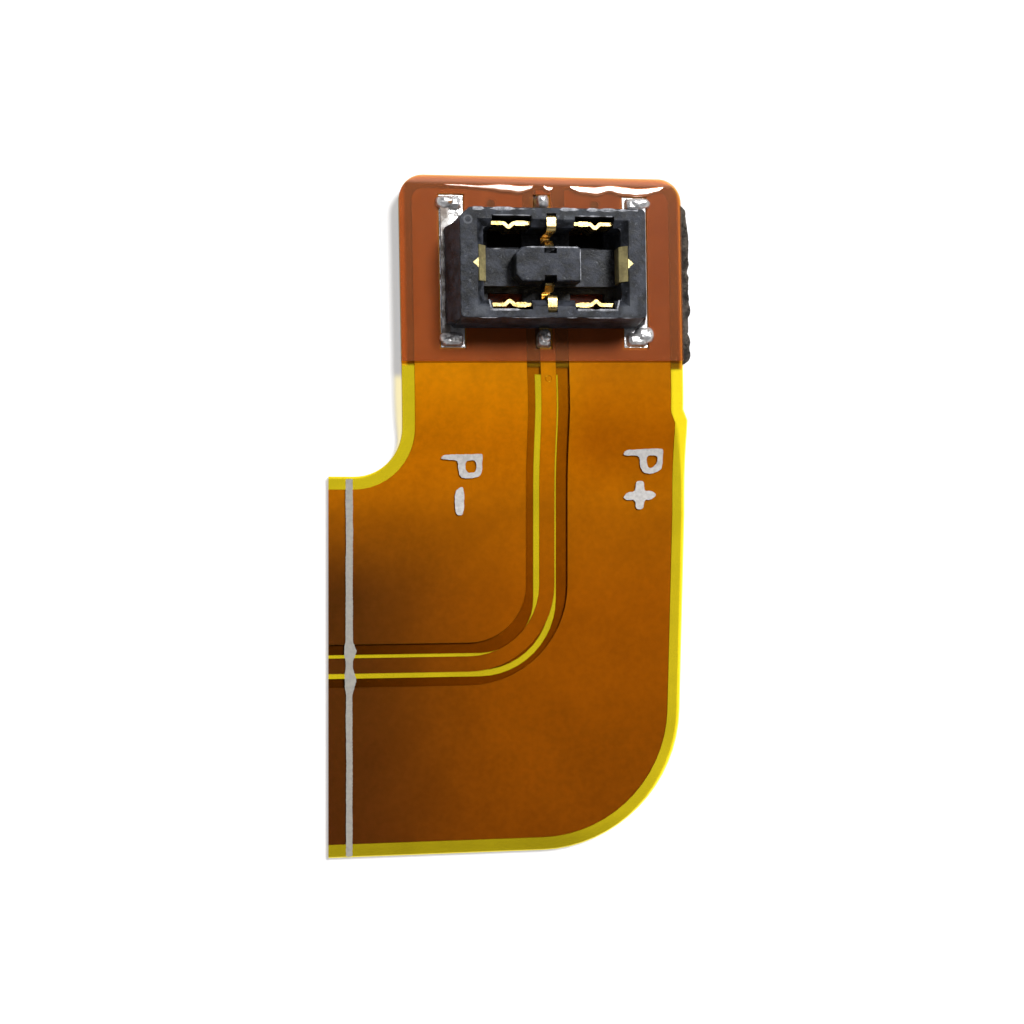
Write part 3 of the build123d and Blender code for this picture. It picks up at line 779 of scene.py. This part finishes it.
def film_ridge(name, start_u, end_u, thin_until=0.0):
    """The slope where the head's film climbs on to the copper, wavy, and thin up to a share of its length."""
    count = round((end_u - start_u) / RIDGE_STEP)
    shape = bmesh.new()
    rows = []
    for index in range(count + 1):
        share = index / count
        u = start_u + share * (end_u - start_u)
        reach = min(share, 1 - share) * (end_u - start_u)
        ends = math.sqrt(1 - (1 - min(1.0, reach / RIDGE_TAPER)) ** 2)
        if thin_until:
            ends *= RIDGE_THIN + (1 - RIDGE_THIN) / (1 + math.exp(-14 * (share - thin_until)))
        long_wave = noise.noise(Vector((u * 1.1, 1.0, 2.0)))
        short_wave = noise.noise(Vector((u * 3.0, 5.0, 1.0)))
        wave = 1 + RIDGE_LONG_WAVE * long_wave + RIDGE_SHORT_WAVE * short_wave
        width = RIDGE_WIDTH * wave * max(0.02, ends)
        outer = RIDGE_V + RIDGE_WIDTH / 2 - RIDGE_DRIFT * noise.noise(Vector((u * 1.3, 8.0, 3.0)))
        row = []
        for across, rise in RIDGE_PROFILE:
            height = SEAT / MM - RIDGE_SUNK + rise * width * RIDGE_SLOPE
            row.append(shape.verts.new(on_head(u, outer - across * width, height)))
        rows.append(row)
    join_rings(shape, rows)
    shape.faces.new(rows[0])
    shape.faces.new(list(reversed(rows[-1])))
    piece = mesh_object(name, shape, bead)
    smoothed(piece)


bead = adhesive_bead()
film_ridge("film_ridge_left", -2.75, -0.28, thin_until=0.50)
film_ridge("film_ridge_middle", 0.00, 0.28)
film_ridge("film_ridge_right", 0.74, 3.40)


# Solder lumps: points round and levels, how square the foot is and how full the flank, how deep the foot
# stands in the film, and how uneven the foot and the top are
FLOW_TURNS, FLOW_LEVELS = 28, 7
FLOW_SQUARE, FLOW_FLANK = 3.2, 0.55
FLOW_SUNK = 0.05
FLOW_DENT, FLOW_LUMP = 0.12, 0.20


def solder_flow(name, u, v, length, width, height):
    """Solder that has wetted a pad: a low lump with an uneven foot, over the plain mound of the model."""
    shape = bmesh.new()
    rows = []
    for level in range(FLOW_LEVELS):
        share = level / FLOW_LEVELS
        lift = height * math.sin(share * math.pi / 2)
        inward = math.cos(share * math.pi / 2) ** FLOW_FLANK
        row = []
        for turn in range(FLOW_TURNS):
            angle = 2 * math.pi * turn / FLOW_TURNS
            cosine, sine = math.cos(angle), math.sin(angle)
            squared = (abs(cosine) ** FLOW_SQUARE + abs(sine) ** FLOW_SQUARE) ** (-1 / FLOW_SQUARE)
            dent = 1 + FLOW_DENT * noise.noise(Vector((u + 1.5 * cosine, v + 1.5 * sine, share)))
            reach = squared * inward * dent
            lump = 1 + FLOW_LUMP * noise.noise(Vector((u * 3 + cosine, v * 3 + sine, share)))
            place = on_head(
                u + reach * cosine * length / 2,
                v + reach * sine * width / 2,
                SEAT / MM - FLOW_SUNK + (lift + FLOW_SUNK * share) * lump,
            )
            row.append(shape.verts.new(place))
        rows.append(row)
    join_rings(shape, rows)
    crown = shape.verts.new(on_head(u, v, SEAT / MM + height * 0.98))
    for turn in range(FLOW_TURNS):
        shape.faces.new((rows[-1][turn], rows[-1][(turn + 1) % FLOW_TURNS], crown))
    shape.faces.new(list(reversed(rows[0])))
    piece = mesh_object(name, shape, solder_finish)
    smoothed(piece, 60.0)


# Solder at the strips' four ends and on the two middle tails
solder_flow("solder_flow_upper_left", -2.70, 1.86, 0.56, 0.36, 0.17)
solder_flow("solder_flow_lower_left", -2.65, -1.80, 0.56, 0.30, 0.15)
solder_flow("solder_flow_upper_right", 2.68, 1.90, 0.66, 0.32, 0.17)
solder_flow("solder_flow_lower_right", 2.78, -1.74, 0.56, 0.46, 0.17)
solder_flow("solder_flow_upper_middle", -0.04, 1.90, 0.36, 0.40, 0.24)
solder_flow("solder_flow_lower_middle", -0.02, -1.76, 0.34, 0.38, 0.20)


# End walls' lean: its top's height and place, and its foot's place, two heights and inset of the lower one
FLARE_TOP, FLARE_TOP_U, FLARE_FOOT_U = 1.30, 2.50, 2.76
FLARE_FOOT_HIGH, FLARE_FOOT_LOW, FLARE_FOOT_IN = 0.16, 0.06, 0.02


def wall_flare(name, side, near, far):
    """The housing's end wall leans out towards its foot and laps over the soldered strip."""
    shape = bmesh.new()
    ends = []
    section = [
        (FLARE_TOP_U, FLARE_TOP),
        (FLARE_FOOT_U, FLARE_FOOT_HIGH),
        (FLARE_FOOT_U - FLARE_FOOT_IN, FLARE_FOOT_LOW),
        (FLARE_TOP_U, FLARE_FOOT_LOW),
    ]
    for v in (near, far):
        ends.append([shape.verts.new(on_head(side * u, v, SEAT / MM + w)) for u, w in section])
    join_rings(shape, ends)
    shape.faces.new(ends[0])
    shape.faces.new(list(reversed(ends[1])))
    piece = mesh_object(name, shape, finishes["socket_housing"])
    rounding = piece.modifiers.new("rounding", "BEVEL")
    rounding.width = 0.03 * MM
    rounding.segments = 2


# The left wall stops where the housing's rear corner is cut off
wall_flare("housing_flare_left", -1, -1.47, 1.16)
wall_flare("housing_flare_right", 1, -1.47, 1.47)


# A pale edge ribbon's section, across and up, as shares of half its width, its step along the edge, what is
# left of half its width where it fades out, and how much of the edge it covers. The ribbons are burrs, and
# painted highlights where edges catch the light.
EDGE_RIBBON_SECTION = ((-1, 0.0), (0, 0.45), (1, 0.0), (0, -0.5))
EDGE_RIBBON_STEP = 0.035
EDGE_RIBBON_THIN = 0.001
EDGE_RIBBON_COVER = 0.35


def pale_edge_ribbon(name, start, end, width, material):
    """Pale ribbon along a moulded edge, a burr and a painted highlight: a thin ragged ridge from start to
    end, each (u, v, height).
    """
    start, end = Vector(start), Vector(end)
    count = max(6, round((end - start).length / EDGE_RIBBON_STEP))
    sideways = Vector((-(end - start).y, (end - start).x, 0.0)).normalized()
    shape = bmesh.new()
    rows = []
    for index in range(count + 1):
        centre = start.lerp(end, index / count)
        raggedness = noise.noise(Vector((centre.x * 4.0, centre.y * 4.0, start.z)))
        ragged_share = max(0.0, raggedness + EDGE_RIBBON_COVER)
        half = width / 2 * min(1.0, ragged_share * 1.8) + EDGE_RIBBON_THIN
        row = []
        for across, rise in EDGE_RIBBON_SECTION:
            place = centre + sideways * across * half
            row.append(shape.verts.new(on_head(place.x, place.y, SEAT / MM + place.z + rise * half)))
        rows.append(row)
    join_rings(shape, rows)
    shape.faces.new(rows[0])
    shape.faces.new(list(reversed(rows[-1])))
    piece = mesh_object(name, shape, material)


burrs_and_highlights = burr_and_highlight_plastic()
# Painted highlight along the rear rim's rounded edge; the other ribbons are burrs and painted highlights
pale_edge_ribbon("rear_edge_painted_highlight", (-2.15, 1.410, 1.395), (2.30, 1.410, 1.395), 0.105, burrs_and_highlights)
pale_edge_ribbon("burr_and_highlight_front_edge", (-2.30, -1.445, 1.385), (2.35, -1.445, 1.385), 0.035, burrs_and_highlights)
for name, side in (("left", -1), ("right", 1)):
    low_start, low_end = (side * 0.62, -1.245, RIM_HEIGHT), (side * 1.72, -1.245, RIM_HEIGHT)
    high_start, high_end = (side * 0.62, 1.245, RIM_HEIGHT), (side * 1.60, 1.245, RIM_HEIGHT)
    corner, beyond = (side * 1.70, -1.20, RIM_HEIGHT), (side * 1.75, -0.98, RIM_HEIGHT)
    pale_edge_ribbon("burr_and_highlight_lower_slot_" + name, low_start, low_end, 0.055, burrs_and_highlights)
    pale_edge_ribbon("burr_and_highlight_upper_slot_" + name, high_start, high_end, 0.030, burrs_and_highlights)
    pale_edge_ribbon("burr_and_highlight_slot_end_" + name, corner, beyond, 0.045, burrs_and_highlights)
pale_edge_ribbon("burr_and_highlight_island_rear", (-0.75, 0.45, 1.195), (0.70, 0.45, 1.195), 0.035, burrs_and_highlights)
pale_edge_ribbon("burr_and_highlight_island_end", (0.755, -0.40, 1.195), (0.755, 0.40, 1.195), 0.025, burrs_and_highlights)
pale_edge_ribbon("burr_and_highlight_floor_rear", (-1.70, 0.50, 0.62), (-1.15, 0.50, 0.62), 0.040, burrs_and_highlights)


# Where a window stands, as the gloss of film and metal mirrors it, its glow, and the cosines of its soft edge
WINDOW = (0.22, 0.46, 0.86)
WINDOW_GLOW = 7.0
WINDOW_EDGE = (0.962, 0.982)

# Key light: where it stands, its strength and its spread
KEY_TOWARDS = (0.37, 0.50, 1.00)
KEY_STRENGTH = 3.00
KEY_SPREAD = math.radians(17.0)

# Floor: its reach, its paint, and the glow that whitens it for the camera, more where film lies before it
FLOOR_REACH = 0.6
FLOOR_PAINT = 0.80
FLOOR_GLOW, FILM_GLOW = 0.42, 0.36


def studio():
    """Floor, soft light from the head's right-hand corner, and a pale surround."""
    floor_mesh = bpy.data.meshes.new("floor")
    reach = FLOOR_REACH
    corners = [(-reach, -reach, 0), (reach, -reach, 0), (reach, reach, 0), (-reach, reach, 0)]
    floor_mesh.from_pydata(corners, [], [(0, 1, 2, 3)])
    floor = bpy.data.objects.new("floor", floor_mesh)
    floor.location.z = -0.01 * MM
    bpy.context.collection.objects.link(floor)
    material, tree = new_material("white_floor")
    path = shader_node(tree, "ShaderNodeLightPath")
    white = (FLOOR_PAINT, FLOOR_PAINT, FLOOR_PAINT, 1.0)
    paint = shader_node(tree, "ShaderNodeBsdfDiffuse", {"Color": white}).outputs[0]
    behind_film = math_node(tree, "GREATER_THAN", path.outputs["Transparent Depth"], 0.5)
    lift = math_node(tree, "MULTIPLY_ADD", behind_film, FILM_GLOW, FLOOR_GLOW)
    seen = math_node(tree, "MULTIPLY", path.outputs["Is Camera Ray"], lift)
    glow = shader_node(
        tree, "ShaderNodeEmission", {"Color": (1.0, 1.0, 1.0, 1.0), "Strength": seen}
    ).outputs[0]
    finish_material(tree, shader_node(tree, "ShaderNodeAddShader", {0: paint, 1: glow}).outputs[0])
    floor_mesh.materials.append(material)

    world = bpy.data.worlds.new("studio")
    bpy.context.scene.world = world
    world.use_nodes = True
    tree = world.node_tree
    tree.nodes.clear()
    path = shader_node(tree, "ShaderNodeLightPath")
    outward = shader_node(tree, "ShaderNodeTexCoord").outputs["Generated"]
    height = along(tree, outward, 2)
    overhead = ramp(
        tree,
        remap(tree, height, 0.0, 1.0, smooth=False),
        [
            (0.00, (0.60, 0.60, 0.60)),
            (0.55, (0.36, 0.36, 0.37)),
            (0.80, (0.10, 0.10, 0.11)),
            (1.00, (0.05, 0.05, 0.05)),
        ],
    )
    towards_window = shader_node(
        tree, "ShaderNodeVectorMath", {0: outward, 1: Vector(WINDOW).normalized()}, operation="DOT_PRODUCT"
    ).outputs["Value"]
    window = remap(tree, towards_window, *WINDOW_EDGE, 0.0, WINDOW_GLOW)
    overhead = blend_colours(tree, 1.0, overhead, window, "ADD")
    mirrored = blend_colours(tree, path.outputs["Is Glossy Ray"], (0.15, 0.15, 0.16), overhead)
    seen = blend_colours(tree, path.outputs["Is Camera Ray"], mirrored, (1.0, 1.0, 1.0))
    background = shader_node(tree, "ShaderNodeBackground", {"Color": seen, "Strength": 1.0})
    shader_node(tree, "ShaderNodeOutputWorld", {"Surface": background.outputs[0]})

    lamp = bpy.data.lights.new("key_light", "SUN")
    lamp.energy = KEY_STRENGTH
    lamp.angle = KEY_SPREAD
    holder = bpy.data.objects.new("key_light", lamp)
    holder.rotation_euler = Vector(KEY_TOWARDS).to_track_quat("Z", "Y").to_euler()
    bpy.context.collection.objects.link(holder)


def camera():
    """Camera over the middle of the lead, with the photograph's square frame."""
    lens = bpy.data.cameras.new("camera")
    lens.lens = CAMERA_LENS
    lens.sensor_width = 36.0
    lens.clip_start = 1 * MM
    lens.clip_end = 5.0
    holder = bpy.data.objects.new("camera", lens)
    back = Vector((-math.sin(CAMERA_TILT), 0.0, math.cos(CAMERA_TILT)))
    holder.location = CAMERA_AIM + back * CAMERA_DISTANCE
    upright = Vector((0.0, 1.0, 0.0))
    holder.rotation_euler = Matrix((upright.cross(back), upright, back)).transposed().to_euler()
    bpy.context.collection.objects.link(holder)
    bpy.context.scene.camera = holder


studio()
camera()
bpy.context.scene.view_settings.view_transform = "Standard"
